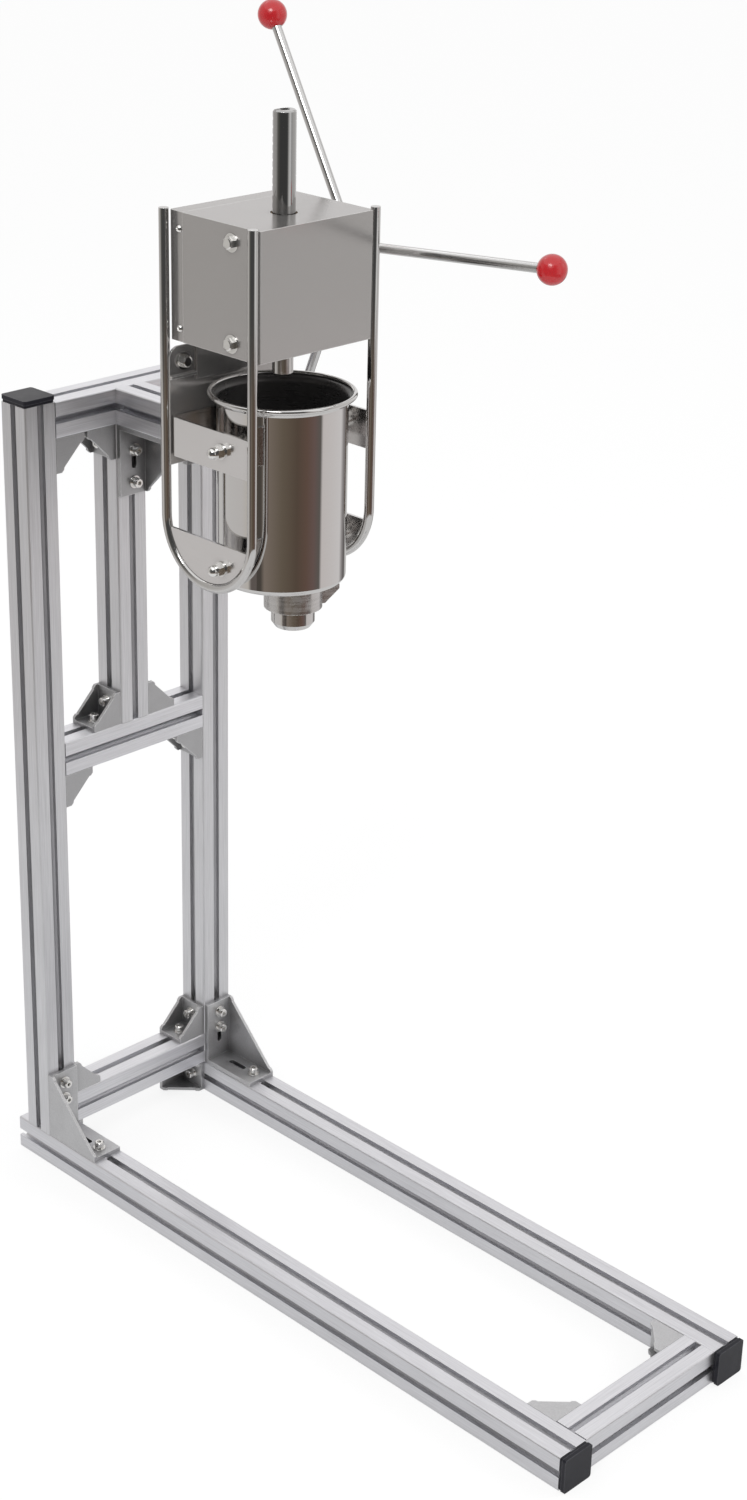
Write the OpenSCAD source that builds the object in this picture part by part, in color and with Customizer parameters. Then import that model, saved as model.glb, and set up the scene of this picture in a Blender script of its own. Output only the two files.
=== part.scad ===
// Churro press head on the arm of an open stand made of slotted aluminium profile.
// Millimetres, +Z up. x = 0 is the middle plane, z = 0 the floor, y = 0 the middle of the front
// cross rail, and +Y runs back towards the posts.

/* [Profile] */
// Width of the square profile
prof_w = 40; // [39:0.5:42]
// Radius of the profile's long edges
prof_r = 2; // [1:0.5:3]
// Width of a slot's mouth
slot_w = 8.2; // [8:0.1:9]
// Thickness of the lips beside a slot's mouth
slot_lip = 4.5; // [4:0.1:5]
// Width of the room under the lips
slot_room = 19; // [18.6:0.2:20]
// Depth of a slot from the outer face
slot_depth = 12.2; // [12:0.1:12.6]
// Diameter of the hole along the profile's core
core_d = 6.8; // [5:0.2:7]
// Side of the square hollow in each corner
corner_void = 4; // [3:0.2:4.4]

/* [Stand] */
// Width over the two base rails
stand_w = 280; // [270:2:320]
// Height of the posts, without their caps
stand_h = 910; // [890:5:960]
// Length of a base rail
rail_len = 840; // [800:5:900]
// How far the base rails reach behind the posts
rail_tail = 16; // [8:1:30]
// Height of the middle cross rail's top face
mid_rail_z = 525; // [480:5:600]
// Thickness of an end cap's outer plate
cap_t = 4.5; // [3:0.5:6]
// Thickness of the smaller step under an end cap's plate
cap_step = 3; // [2:0.5:4]
// How far that step stands in from the edge
cap_inset = 1; // [0.5:0.1:1.5]
// Length of an end cap's peg
cap_peg = 12; // [8:1:20]

/* [Brackets] */
// Leg of a small corner bracket
leg = 38; // [36:0.5:39.5]
// Wall of a small corner bracket's legs
leg_t = 4; // [3:0.5:4.5]
// Thickness of the triangular cheeks
cheek_t = 3.5; // [2.5:0.5:4]
// How far a bracket stands in from the profile's edges
bracket_inset = 1; // [0.5:0.25:2]
// Height left at the tip of a cheek
cheek_tip = 7; // [5:0.5:9]
// Length of the lip at each end of a cheek's sloping edge
cheek_lip = 3; // [2:0.5:4]
// How far the sloping edge lies behind its lips, along a leg
cheek_dip = 2; // [1:0.5:3]
// Screw place along a small bracket's leg, from the corner
screw_at = 23; // [22:0.5:25]
// Leg of a large corner bracket
big_leg = 80; // [76:1:90]
// Wall of a large corner bracket
big_t = 5; // [4:0.5:6]
// Round hole along a large bracket's leg, from the corner
big_hole_at = 66; // [64:0.5:68]
// Ends of the slotted hole along a large bracket's leg, from the corner
big_slot_from = 24; // [22:0.5:26]
// Far end of the slotted hole
big_slot_to = 51; // [49:0.5:52]

/* [Screws] */
// Diameter of the frame screws
screw_d = 6; // [5.5:0.1:6.4]
// Diameter of their cylinder heads
head_d = 10.4; // [9.5:0.1:10.8]
// Height of their heads
head_h = 5.2; // [4.5:0.1:6.4]
// Bevel round the top of their heads
head_edge = 0.9; // [0.5:0.1:1.2]
// Width of the hexagon socket
socket_w = 5; // [4.5:0.1:5.4]
// Diameter of the plain washers
washer_d = 14; // [13:0.2:15]
// Thickness of the plain washers
washer_t = 1.6; // [1.2:0.1:2]
// Thickness of the spring washers
spring_t = 1.8; // [1.4:0.1:2]
// Width of a slot nut's plate
nut_w = 15; // [14:0.2:15.6]
// Thickness of a slot nut's plate
nut_t = 4; // [3.5:0.1:4.2]
// Length of a slot nut
nut_len = 15; // [12:0.5:18]

/* [Gearbox] */
// Width of the gearbox housing
box_w = 152; // [148:1:160]
// Depth of the housing, without its rear cover
box_d = 109.5; // [108:0.5:114]
// Height of the housing
box_h = 128; // [124:1:134]
// Depth of the rear cover
cover_d = 19; // [17:0.5:20]
// Side screws of the cover, behind the shell's rear edge
cover_screw_at = 5; // [4:0.5:6]
// Thickness of the housing's sheet
sheet_t = 2; // [1.5:0.1:2.4]
// Radius of the housing's upright edges
box_r = 2.5; // [2.4:0.1:4]
// Height of the housing's floor above the arm's top face
box_rise = 94; // [92:1:104]
// Front of the housing ahead of the rod's axis
nose = 47.5; // [44:0.5:50]
// Thickness of a bearing plate
bearing_t = 10; // [8:0.5:12]

/* [Drive] */
// Tooth module of the rack and pinion
gear_m = 2.5; // [2.4:0.02:2.6]
// Number of pinion teeth
gear_n = 10; // [10:1:10]
// Width of the pinion's teeth
gear_w = 14; // [12:0.5:15]
// Diameter of the rack rod
rod_d = 23; // [22.6:0.1:24]
// Length of the rack rod with its spigot
rod_len = 258; // [250:1:270]
// How far the rod stands above the housing as drawn
rod_rise = 98; // [90:1:104]
// Diameter of the spigot at the rod's lower end
spigot_d = 21; // [20:0.1:21.6]
// Length of the spigot
spigot_len = 34; // [32:0.5:36]
// Travel of the rod downwards
stroke_down = 110; // [90:1:112]
// Travel of the rod upwards
stroke_up = 15; // [10:0.5:15]
// Diameter of the pinion shaft
shaft_d = 12; // [11:0.1:12.4]
// Height of the pinion's axis above the housing's floor
pinion_rise = 76; // [72:0.5:80]

/* [Handle] */
// Diameter of the handle's hub
hub_d = 30; // [28:0.5:32]
// Length of the hub
hub_len = 38; // [34:0.5:42]
// Gap between the housing and the hub
hub_gap = 12; // [10:0.5:16]
// Diameter of a lever rod
lever_d = 10; // [9:0.1:11]
// Distance of a knob's centre from the hub's axis
lever_r = 250; // [230:1:250]
// How far a knob stands out beyond the lever's root, along the axis
lever_out = 19; // [10:0.5:22]
// Diameter of a ball knob
knob_d = 30; // [28:0.5:31]
// Turn of the first lever from the rear, upwards
lever_turn = 56; // [50:1:62]

/* [Barrel] */
// Distance of the barrel's axis ahead of the posts
reach = 235; // [230:1:250]
// Outer diameter of the barrel
barrel_d = 132; // [126:1:134]
// Height of the barrel over its rim
barrel_h = 196; // [190:1:200]
// Wall of the barrel
barrel_t = 1.5; // [1.2:0.1:2]
// Diameter over the rolled rim
rim_d = 150; // [146:0.5:151]
// Thickness of the rolled rim
bead_d = 5; // [4:0.2:6]
// Height of the flare under the rim
flare_h = 9; // [8:0.5:14]
// Radius of the barrel's lower edge
heel_r = 6; // [4:0.5:8]
// Height of the rim's top above the arm's top face
rim_rise = 46; // [44:0.5:48]
// How far the outlet stands ahead of the barrel's axis
outlet_ahead = 18; // [12:0.5:20]

/* [Outlet] */
// Bore of the outlet spout
spout_bore = 40; // [38:0.5:41]
// Outer diameter of the spout
spout_d = 48; // [47:0.2:49]
// Length of the spout below the barrel
spout_len = 18; // [17:0.5:20]
// Outer diameter of the nozzle ring
ring_d = 60; // [59:0.5:64]
// Diameter of the nozzle cup
cup_d = 45; // [44:0.2:46]
// Height of the nozzle cup below the ring
cup_h = 21; // [18:0.5:24]
// Outer diameter of the star-shaped hole
star_d = 15; // [12:0.5:17]
// Reach of the thumb lug from the ring's axis
lug_r = 49; // [46:0.5:50]
// Width of the thumb lug
lug_w = 13; // [11:0.5:15]

/* [Carrier] */
// Diameter of the round bars
bar_d = 10; // [9:0.2:11]
// Front leg of a bar frame ahead of the barrel's axis
bar_ahead = 44; // [43:0.5:46]
// Gap between the barrel's rim and the back plate
rim_gap = 0.4; // [0.3:0.1:3]
// Height of the bar frames' tops above the housing's top
bar_top = 2; // [0:0.5:4]
// Lowest point of the bars' middle line, below the arm's top face
bar_drop = 147.5; // [142:0.5:150]
// Thickness of the side plates and bands
band_t = 3; // [2:0.2:4]
// Height of the upper band
band_h = 40; // [36:0.5:44]
// Lower edge of the upper band below the arm's top face
band_drop = 22; // [18:0.5:24]
// Upper edge of the lower plates below the arm's top face
moon_drop = 98; // [94:0.5:104]
// Thickness of the back plate
back_t = 2.4; // [2:0.1:3]
// How far the back plate passes the centre lines of the bars
back_lap = 0.8; // [0:0.1:3]
// Lower edge of the back plate below the arm's top face
back_drop = 33; // [30:0.5:36]
// From the neck bracket's edges to the axes of the bolts in the ears
neck_gap = 16; // [14:0.5:20]
// Height of the neck bracket
neck_h = 44; // [40:0.5:48]
// Diameter of the threads behind the domed nuts
stud_d = 8; // [7:0.1:8.4]

/* [Hidden] */
$fn = 48;

// Overrun of every cut past the face that it opens
over = 1;
// Gap between a piece and the round or welded seat beside it
seat = 0.2;
// Radial gap of a sliding or turning fit
run_gap = 0.05;
// Radial gap of a screw in its clearance hole
screw_gap = 0.4;
// Radial gap of a screw in its thread
thread_gap = 0.04;

// Colours
alu = [0.74, 0.74, 0.77];
cast = [0.6, 0.6, 0.61];
black = [0.07, 0.07, 0.08];
steel = [0.68, 0.67, 0.65];
polished = [0.8, 0.8, 0.79];
red = [0.75, 0.05, 0.04];
bronze = [0.66, 0.5, 0.3];
rubber = [0.85, 0.84, 0.8];

// Stand
half_w = prof_w / 2;
rail_x = stand_w / 2 - half_w;
rail_y0 = -half_w;
rail_y1 = rail_y0 + rail_len;
post_y = rail_y1 - rail_tail - half_w;
post_front = post_y - half_w;
inner_x = rail_x - half_w;
arm_top = stand_h;
bracket_w = prof_w - 2 * bracket_inset;
room_wall = 2.5;
slot_floor = 9;
void_wall = 2.2;
void_at = half_w - corner_void / 2 - void_wall;

// Press head
barrel_y = post_front - reach;
box_y0 = barrel_y - nose;
box_y1 = box_y0 + box_d;
box_z0 = arm_top + box_rise;
box_z1 = box_z0 + box_h;
bar_y0 = barrel_y - bar_ahead;
bar_y1 = barrel_y + max(rim_d, barrel_d) / 2 + rim_gap + back_t + seat + bar_d / 2;
bar_x = box_w / 2 + bar_d / 2 + seat;
back_half = bar_x + back_lap;
bend_r = (bar_y1 - bar_y0) / 2;
bend_y = (bar_y1 + bar_y0) / 2;
bend_z = arm_top - bar_drop + bend_r;
back_y1 = bar_y1 - bar_d / 2 - seat;
back_y0 = back_y1 - back_t;
band_y0 = bar_y0 + bar_d / 2 + seat;
band_z = arm_top - band_drop;
moon_z = arm_top - moon_drop;
rim_z = arm_top + rim_rise;
base_z = rim_z - barrel_h;
barrel_floor = 2;
barrel_r = barrel_d / 2;
bore_r = barrel_r - barrel_t;

// Rack and pinion: the pitch line lies behind the rod's axis, the pinion behind the line
pitch_r = gear_m * gear_n / 2;
rack_pitch = PI * gear_m;
pressure = 20;
addendum = 0.9 * gear_m;
dedendum = 1.25 * gear_m;
backlash = gear_m / 10;
rack_line = rod_d / 2 - addendum - 0.3 * gear_m;
pinion_y = barrel_y + rack_line + pitch_r;
pinion_z = box_z0 + pinion_rise;
rod_z1 = box_z1 + rod_rise;
rod_z0 = rod_z1 - rod_len;
rack_z0 = pinion_z - stroke_up - 2 * rack_pitch;

// Handle
hub_x0 = box_w / 2 + hub_gap;
lever_root = hub_x0 + 0.7 * hub_len;
lever_tilt = atan2(lever_out, lever_r);
lever_angles = [lever_turn, lever_turn + 120, lever_turn + 240];
lever_span = norm([lever_r, lever_out]);
lever_foot = 2;
lever_in = shaft_d / 2 + lever_foot;
knob_hole = 16;

// Bearings in the side plates
bearing_x = box_w / 2 - sheet_t - seat;
bush_wall = 3;
bush_d = shaft_d + 2 * bush_wall;
bush_flange = bush_d + 2 * bush_wall;
bush_flange_t = 2;

// Outlet: the ring hangs on three spout lugs and turns free of them in a sixth of a turn
outlet_y = barrel_y - outlet_ahead;
spout_z = base_z - spout_len;
lug_span = 54;
lock_lug_t = 4;
lock_lug_w = 3;
lock_lug_r = spout_d / 2 + lock_lug_w;
gasket_t = 1.8;
flange_t = 2.5;
ring_lip = 4.5;
ring_gap = 0.3;
ring_below = 4;
cup_top = spout_z - gasket_t - seat - flange_t;
ring_z0 = cup_top - ring_gap - ring_lip;
ring_z1 = base_z - ring_below;
ring_room_r = lock_lug_r + 2 * ring_gap;
ring_mid_r = (ring_room_r + ring_d / 2) / 2;
cup_z0 = ring_z0 - cup_h;

// Plunger: it waits at the barrel's bottom, with its socket where the spigot ends its travel
plunger_z = base_z + barrel_floor + ring_gap;
socket_gap = 0.5;
socket_floor = rod_z0 - stroke_down - socket_gap;
socket_depth = 24;
plunger_gap = 2.5;
plunger_r = bore_r - plunger_gap;
seal_h = 6;
seal_seat = 3;

// Outlines

module rounded_rect(w, d, r) {
    square([w - 2 * r, d], center = true);
    square([w, d - 2 * r], center = true);
    for (x = [-1, 1], y = [-1, 1])
        translate([x * (w / 2 - r), y * (d / 2 - r)]) circle(r = r);
}

module slot_outline() {
    polygon([
        [-slot_w / 2, half_w + over], [-slot_w / 2, half_w - slot_lip],
        [-slot_room / 2, half_w - slot_lip], [-slot_room / 2, half_w - slot_lip - room_wall],
        [-slot_floor / 2, half_w - slot_depth], [slot_floor / 2, half_w - slot_depth],
        [slot_room / 2, half_w - slot_lip - room_wall], [slot_room / 2, half_w - slot_lip],
        [slot_w / 2, half_w - slot_lip], [slot_w / 2, half_w + over]
    ]);
}

module profile_outline() {
    difference() {
        rounded_rect(prof_w, prof_w, prof_r);
        for (a = [0:90:270]) rotate(a) slot_outline();
        circle(d = core_d);
        for (x = [-1, 1], y = [-1, 1])
            translate([x * void_at, y * void_at]) square(corner_void, center = true);
    }
}

// Profiles from a start point, along one axis

module profile_x(from, length) {
    translate(from) rotate([90, 0, 90]) linear_extrude(length) profile_outline();
}

module profile_y(from, length) {
    translate(from) rotate([-90, 0, 0]) linear_extrude(length) profile_outline();
}

module profile_z(from, length) {
    translate(from) linear_extrude(length) profile_outline();
}

// An outline drawn in Y and Z, extruded along +X from x0
module extrude_x(x0, length) {
    translate([x0, 0, 0]) rotate([90, 0, 90]) linear_extrude(length) children();
}

module rod_x(x0, length, d) {
    translate([x0, 0, 0]) rotate([0, 90, 0]) cylinder(d = d, h = length);
}

module ring(d_out, d_in, h) {
    difference() {
        cylinder(d = d_out, h = h);
        translate([0, 0, -over]) cylinder(d = d_in, h = h + 2 * over);
    }
}

// Stand

module base_rail(side) color(alu) profile_y([side * rail_x, rail_y0, half_w], rail_len);
module post(side) color(alu) profile_z([side * rail_x, post_y, prof_w], stand_h - prof_w);
module base_rail_left() base_rail(-1);
module base_rail_right() base_rail(1);
module post_left() post(-1);
module post_right() post(1);

module cross_rail(y, z) color(alu) profile_x([-inner_x, y, z], 2 * inner_x);
module front_cross_rail() cross_rail(0, half_w);
module bottom_cross_rail() cross_rail(post_y, prof_w + half_w);
module middle_cross_rail() cross_rail(post_y, mid_rail_z - half_w);
module top_cross_rail() cross_rail(post_y, arm_top - half_w);

module centre_post() {
    color(alu) profile_z([0, post_y, mid_rail_z], arm_top - prof_w - mid_rail_z);
}

module arm_rail() {
    color(alu) profile_y([0, back_y1, arm_top - half_w], post_front - back_y1);
}

// End cap that sits on a profile's end at z = 0
module end_cap() {
    color(black) {
        linear_extrude(cap_step)
            rounded_rect(prof_w - 2 * cap_inset, prof_w - 2 * cap_inset, prof_r);
        translate([0, 0, cap_step]) linear_extrude(cap_t) rounded_rect(prof_w, prof_w, prof_r + cap_inset);
        translate([0, 0, -cap_peg]) cylinder(d = core_d - 2 * seat, h = cap_peg + cap_step / 2);
    }
}

module rail_end_caps() {
    for (side = [-1, 1]) translate([side * rail_x, rail_y0, half_w]) rotate([90, 0, 0]) end_cap();
}

module post_caps() {
    for (side = [-1, 1]) translate([side * rail_x, post_y, stand_h]) end_cap();
}

// Brackets: the inner corner is at the origin, one leg runs along +X and one along +Z

module cheek_outline(length) {
    far = length - cheek_lip;
    near = cheek_tip + cheek_lip;
    polygon([[0, 0], [length, 0], [length, cheek_tip], [far, near], [far - cheek_dip, near],
        [near, far - cheek_dip], [near, far], [cheek_tip, length], [0, length]]);
}

module small_bracket() {
    color(cast) difference() {
        union() {
            translate([0, -bracket_w / 2, 0]) cube([leg, bracket_w, leg_t]);
            translate([0, -bracket_w / 2, 0]) cube([leg_t, bracket_w, leg]);
            for (y = [-bracket_w / 2 + cheek_t, bracket_w / 2])
                translate([0, y, 0]) rotate([90, 0, 0]) linear_extrude(cheek_t)
                    cheek_outline(leg);
        }
        translate([screw_at, 0, -over]) cylinder(d = screw_d + 2 * screw_gap, h = leg_t + 2 * over);
        translate([-over, 0, screw_at]) rotate([0, 90, 0])
            cylinder(d = screw_d + 2 * screw_gap, h = leg_t + 2 * over);
    }
}

module big_leg_holes() {
    d = screw_d + 2 * screw_gap;
    h = big_t + 2 * over;
    translate([big_hole_at, 0, -over]) cylinder(d = d, h = h);
    for (x = [big_slot_from + d / 2, big_slot_to - d / 2]) translate([x, 0, -over]) cylinder(d = d, h = h);
    translate([big_slot_from + d / 2, -d / 2, -over]) cube([big_slot_to - big_slot_from - d, d, h]);
}

// The single cheek stands on the +Y edge
module big_bracket() {
    color(cast) difference() {
        union() {
            translate([0, -bracket_w / 2, 0]) cube([big_leg, bracket_w, big_t]);
            translate([0, -bracket_w / 2, 0]) cube([big_t, bracket_w, big_leg]);
            translate([0, bracket_w / 2, 0]) rotate([90, 0, 0]) linear_extrude(cheek_t)
                cheek_outline(big_leg);
        }
        big_leg_holes();
        mirror([1, 0, -1]) big_leg_holes();
    }
}

// Places of the small brackets: corner, direction along x, and turn of the second leg from upwards
upper_places = [
    [[-inner_x, post_y, arm_top - prof_w], 1, 180], [[inner_x, post_y, arm_top - prof_w], -1, 180],
    [[-half_w, post_y, arm_top - prof_w], -1, 180], [[half_w, post_y, arm_top - prof_w], 1, 180],
    [[-half_w, post_y, mid_rail_z], -1, 0], [[half_w, post_y, mid_rail_z], 1, 0],
    [[-inner_x, post_y, mid_rail_z - prof_w], 1, 180], [[inner_x, post_y, mid_rail_z - prof_w], -1, 180]
];
lower_places = [
    [[-inner_x, post_y, 2 * prof_w], 1, 0], [[inner_x, post_y, 2 * prof_w], -1, 0],
    [[-inner_x, half_w, half_w], 1, -90], [[inner_x, half_w, half_w], -1, -90]
];
// These lie flat on the base rails and carry the bottom rail on their upper cheeks
under_places = [
    [[-inner_x, post_y + half_w, half_w], 1, 90], [[inner_x, post_y + half_w, half_w], -1, 90]
];
head_places = [
    [[-half_w, back_y1, arm_top - half_w], -1, -90], [[half_w, back_y1, arm_top - half_w], 1, -90]
];

module at_place(place) {
    translate(place[0]) mirror([place[1] < 0 ? 1 : 0, 0, 0]) rotate([place[2], 0, 0]) children();
}

// Places of the large brackets: corner, side of the cheek, direction along z, screw in the slot
base_big_places = [
    [[-rail_x, post_front, prof_w], -1, 1, big_slot_to - screw_d],
    [[rail_x, post_front, prof_w], 1, 1, big_slot_to - screw_d]
];
arm_big_place = [[0, post_front, arm_top - prof_w], 1, -1, big_slot_from + screw_d];

module at_big_place(place) {
    translate(place[0])
        mirror([place[1] < 0 ? 1 : 0, 0, 0])
            mirror([0, 0, place[2] < 0 ? 1 : 0])
                rotate([0, 0, -90]) children();
}

module upper_corner_brackets() for (p = upper_places) at_place(p) small_bracket();
module lower_corner_brackets() {
    for (p = concat(lower_places, under_places)) at_place(p) small_bracket();
}
module head_corner_brackets() for (p = head_places) at_place(p) small_bracket();
module base_brackets() for (p = base_big_places) at_big_place(p) big_bracket();
module arm_bracket() at_big_place(arm_big_place) big_bracket();

// Screw stations: children stand on a bracket's leg, with +Z along the screw towards its head

// On the second leg alone, or on both
module second_stations(places) {
    for (p = places) at_place(p) translate([leg_t, 0, screw_at]) rotate([0, 90, 0]) children();
}

module small_stations(places) {
    for (p = places) at_place(p) translate([screw_at, 0, leg_t]) children();
    second_stations(places) children();
}

module big_stations() {
    for (p = concat(base_big_places, [arm_big_place])) at_big_place(p) {
        translate([big_hole_at, 0, big_t]) children();
        translate([big_t, 0, big_hole_at]) rotate([0, 90, 0]) children();
        translate([big_t, 0, p[3]]) rotate([0, 90, 0]) children();
    }
}

// A cap screw whose shank reaches the given depth below the leg's face
module cap_screw(depth) {
    top = washer_t + spring_t;
    color(polished) {
        difference() {
            translate([0, 0, top]) {
                cylinder(d = head_d, h = head_h - head_edge);
                translate([0, 0, head_h - head_edge])
                    cylinder(d1 = head_d, d2 = head_d - 2 * head_edge, h = head_edge);
            }
            translate([0, 0, top + head_h / 2]) cylinder(d = socket_w, h = head_h, $fn = 6);
        }
        translate([0, 0, -depth]) cylinder(d = screw_d, h = depth + top + head_h / 4);
    }
}

module frame_screws() {
    reach_in = slot_lip + nut_t;
    small_stations(concat(upper_places, lower_places)) cap_screw(leg_t + reach_in);
    second_stations(concat(under_places, head_places)) cap_screw(leg_t + reach_in);
    big_stations() cap_screw(big_t + reach_in);
    for (p = head_places) at_place(p)
        translate([screw_at, 0, leg_t]) cap_screw(leg_t + back_t + band_t + head_h);
}

module washer_pair() {
    color(polished) {
        ring(washer_d, screw_d + 2 * screw_gap, washer_t);
        translate([0, 0, washer_t]) ring(head_d, screw_d + 2 * screw_gap, spring_t);
    }
}

module frame_washers() {
    small_stations(concat(upper_places, lower_places, head_places)) washer_pair();
    second_stations(under_places) washer_pair();
    big_stations() washer_pair();
}

// A slot nut under the lips, with its neck in the mouth; z = 0 is the profile's face
module slot_nut() {
    color(steel) difference() {
        union() {
            translate([-nut_len / 2, -nut_w / 2, -slot_lip - nut_t]) cube([nut_len, nut_w, nut_t]);
            translate([-nut_len / 2, -slot_w / 2 + seat, -slot_lip - nut_t / 2])
                cube([nut_len, slot_w - 2 * seat, slot_lip / 2 + nut_t / 2]);
        }
        translate([0, 0, -slot_lip - nut_t - over])
            cylinder(d = screw_d + 2 * thread_gap, h = slot_lip + nut_t + over);
    }
}

module slot_nuts() {
    for (p = concat(upper_places, lower_places)) at_place(p) {
        translate([screw_at, 0, -seat]) slot_nut();
        translate([-seat, 0, screw_at]) rotate([0, 90, 0]) slot_nut();
    }
    for (p = concat(under_places, head_places)) at_place(p)
        translate([-seat, 0, screw_at]) rotate([0, 90, 0]) slot_nut();
    for (p = concat(base_big_places, [arm_big_place])) at_big_place(p) {
        translate([big_hole_at, 0, -seat]) slot_nut();
        translate([-seat, 0, big_hole_at]) rotate([0, 90, 0]) slot_nut();
        translate([-seat, 0, p[3]]) rotate([0, 90, 0]) slot_nut();
    }
}

// Hexagon nuts in front of the band, on the screws that hold the head to the arm
module head_nuts() {
    for (p = head_places) at_place(p)
        translate([screw_at, 0, -back_t - band_t - head_h * 0.8]) color(polished) difference() {
            cylinder(d = head_d * 1.15, h = head_h * 0.8, $fn = 6);
            translate([0, 0, -over]) cylinder(d = screw_d + 2 * thread_gap, h = head_h + 2 * over);
        }
}

// Gearbox

// Places of the side bolts and cover screws, from the housing's lower, upper and front edges
bolt_low = 13;
bolt_high = 17;
bolt_back = 38.5;
bolt_rises = [bolt_low, box_h - bolt_high];
bolt_y = box_y0 + bolt_back;
box_bolt_d = 6;
hex_w = 13;
hex_h = 5;
hex_crown = 0.6;
hex_washer_t = 1;
cover_screw_d = 4;
cover_screw_y = box_y1 + cover_screw_at;
cover_step = 0.6;
tab_t = 2;
tab_w = 18;
rod_hole_gap = 2;
rod_hole_d = rod_d + 2 * rod_hole_gap;

module box_outline(w, y0, y1, r) {
    translate([0, (y0 + y1) / 2]) rounded_rect(w, y1 - y0, r);
}

// Folded sheet shell, open at the rear, with two joggled tabs a side for the cover's screws
module gear_housing() {
    inner_r = box_r - sheet_t;
    color(steel) difference() {
        union() {
            difference() {
                translate([0, 0, box_z0]) linear_extrude(box_h) intersection() {
                    box_outline(box_w, box_y0, box_y1 + 2 * box_r, box_r);
                    translate([-box_w, box_y0 - over]) square([2 * box_w, box_d + over]);
                }
                translate([-box_w / 2 + sheet_t, box_y0 + sheet_t, box_z0 + sheet_t])
                    cube([box_w - 2 * sheet_t, box_d, box_h - 2 * sheet_t]);
            }
            for (side = [-1, 1], rise = bolt_rises)
                translate([side * (box_w / 2 - sheet_t - tab_t / 2), box_y1, box_z0 + rise])
                    cube([tab_t, 3.2 * cover_screw_at, tab_w], center = true);
        }
        for (z = [box_z0, box_z1 - sheet_t]) translate([0, barrel_y, z - over])
            cylinder(d = rod_hole_d, h = sheet_t + 2 * over);
        translate([0, pinion_y, pinion_z])
            rod_x(box_w / 2 - sheet_t - over, sheet_t + 2 * over, shaft_d + 2 * rod_hole_gap);
        for (rise = bolt_rises) translate([0, bolt_y, box_z0 + rise])
            rod_x(-box_w, 2 * box_w, box_bolt_d + 2 * screw_gap);
        for (rise = bolt_rises) translate([0, cover_screw_y, box_z0 + rise])
            rod_x(-box_w, 2 * box_w, cover_screw_d + 2 * thread_gap);
    }
}

// Shallow tray that closes the rear, flush with the shell's outside but for a shadow line
module rear_cover() {
    y0 = box_y1 + seat;
    y1 = box_y1 + cover_d;
    t = sheet_t - cover_step;
    color(steel) difference() {
        translate([0, 0, box_z0]) linear_extrude(box_h) intersection() {
            box_outline(box_w - 2 * cover_step, y0 - 2 * box_r, y1, box_r);
            translate([-box_w, y0]) square([2 * box_w, cover_d]);
        }
        translate([-box_w / 2 + sheet_t, y0 - over, box_z0 + t])
            cube([box_w - 2 * sheet_t, cover_d - sheet_t + over, box_h - 2 * t]);
        for (rise = bolt_rises) translate([0, cover_screw_y, box_z0 + rise])
            rod_x(-box_w, 2 * box_w, cover_screw_d + 2 * screw_gap);
    }
}

// Pan-head screws through the cover's sides into the tabs
module cover_screws() {
    pan_d = 2 * cover_screw_d;
    pan_h = 0.75 * cover_screw_d;
    x = box_w / 2 - cover_step;
    shank = sheet_t - cover_step + tab_t + cover_screw_d / 2;
    for (side = [-1, 1], rise = bolt_rises)
        translate([0, cover_screw_y, box_z0 + rise]) mirror([side < 0 ? 1 : 0, 0, 0]) color(polished)
            difference() {
                union() {
                    translate([x, 0, 0]) rotate([0, 90, 0]) pan_head(pan_d, pan_h);
                    rod_x(x - shank, shank + pan_h / 2, cover_screw_d);
                }
                for (a = [45, 135]) translate([x + 0.7 * pan_h, 0, 0]) rotate([a, 0, 0])
                    translate([0, -pan_d / 4, -pan_d / 16]) cube([pan_h, pan_d / 2, pan_d / 8]);
            }
}

// A domed head: a sphere's cap of the given diameter and height on z = 0
module pan_head(d, h) {
    r = (d * d / 4 + h * h) / (2 * h);
    intersection() {
        translate([0, 0, h - r]) sphere(r = r);
        cylinder(d = d, h = h);
    }
}

module bearing_plate(side) {
    edge = 11;
    plate_y0 = bolt_y - edge;
    plate_y1 = pinion_y + bush_flange / 2 + edge;
    plate_z0 = box_z0 + sheet_t + seat;
    plate_h = box_h - 2 * sheet_t - 2 * seat;
    color(alu) difference() {
        mirror([side < 0 ? 1 : 0, 0, 0])
            translate([bearing_x - bearing_t, plate_y0, plate_z0])
                cube([bearing_t, plate_y1 - plate_y0, plate_h]);
        translate([0, pinion_y, pinion_z]) rod_x(-box_w, 2 * box_w, bush_d + 2 * run_gap);
        for (rise = bolt_rises) translate([0, bolt_y, box_z0 + rise])
            rod_x(-box_w, 2 * box_w, box_bolt_d + 2 * thread_gap);
    }
}

module bearing_plate_left() bearing_plate(-1);
module bearing_plate_right() bearing_plate(1);

module shaft_bushes() {
    for (side = [-1, 1]) translate([0, pinion_y, pinion_z]) mirror([side < 0 ? 1 : 0, 0, 0])
        color(bronze) translate([bearing_x - bearing_t - bush_flange_t - seat, 0, 0]) rotate([0, 90, 0])
            difference() {
                union() {
                    cylinder(d = bush_flange, h = bush_flange_t);
                    cylinder(d = bush_d, h = bush_flange_t + seat + bearing_t);
                }
                translate([0, 0, -over])
                    cylinder(d = shaft_d + 2 * run_gap, h = bearing_t + bush_flange_t + 3 * over);
            }
}

// Flanged bushes that guide the rod, one under the housing's roof and one on its floor
guide_len = 30;
guide_wall = 3;
guide_flange = 7;
guide_flange_t = 3;

module guide_bushes() {
    color(bronze) {
        translate([0, barrel_y, box_z1 - sheet_t - seat]) mirror([0, 0, 1]) guide_bush();
        translate([0, barrel_y, box_z0 + sheet_t + seat]) guide_bush();
    }
}

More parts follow.
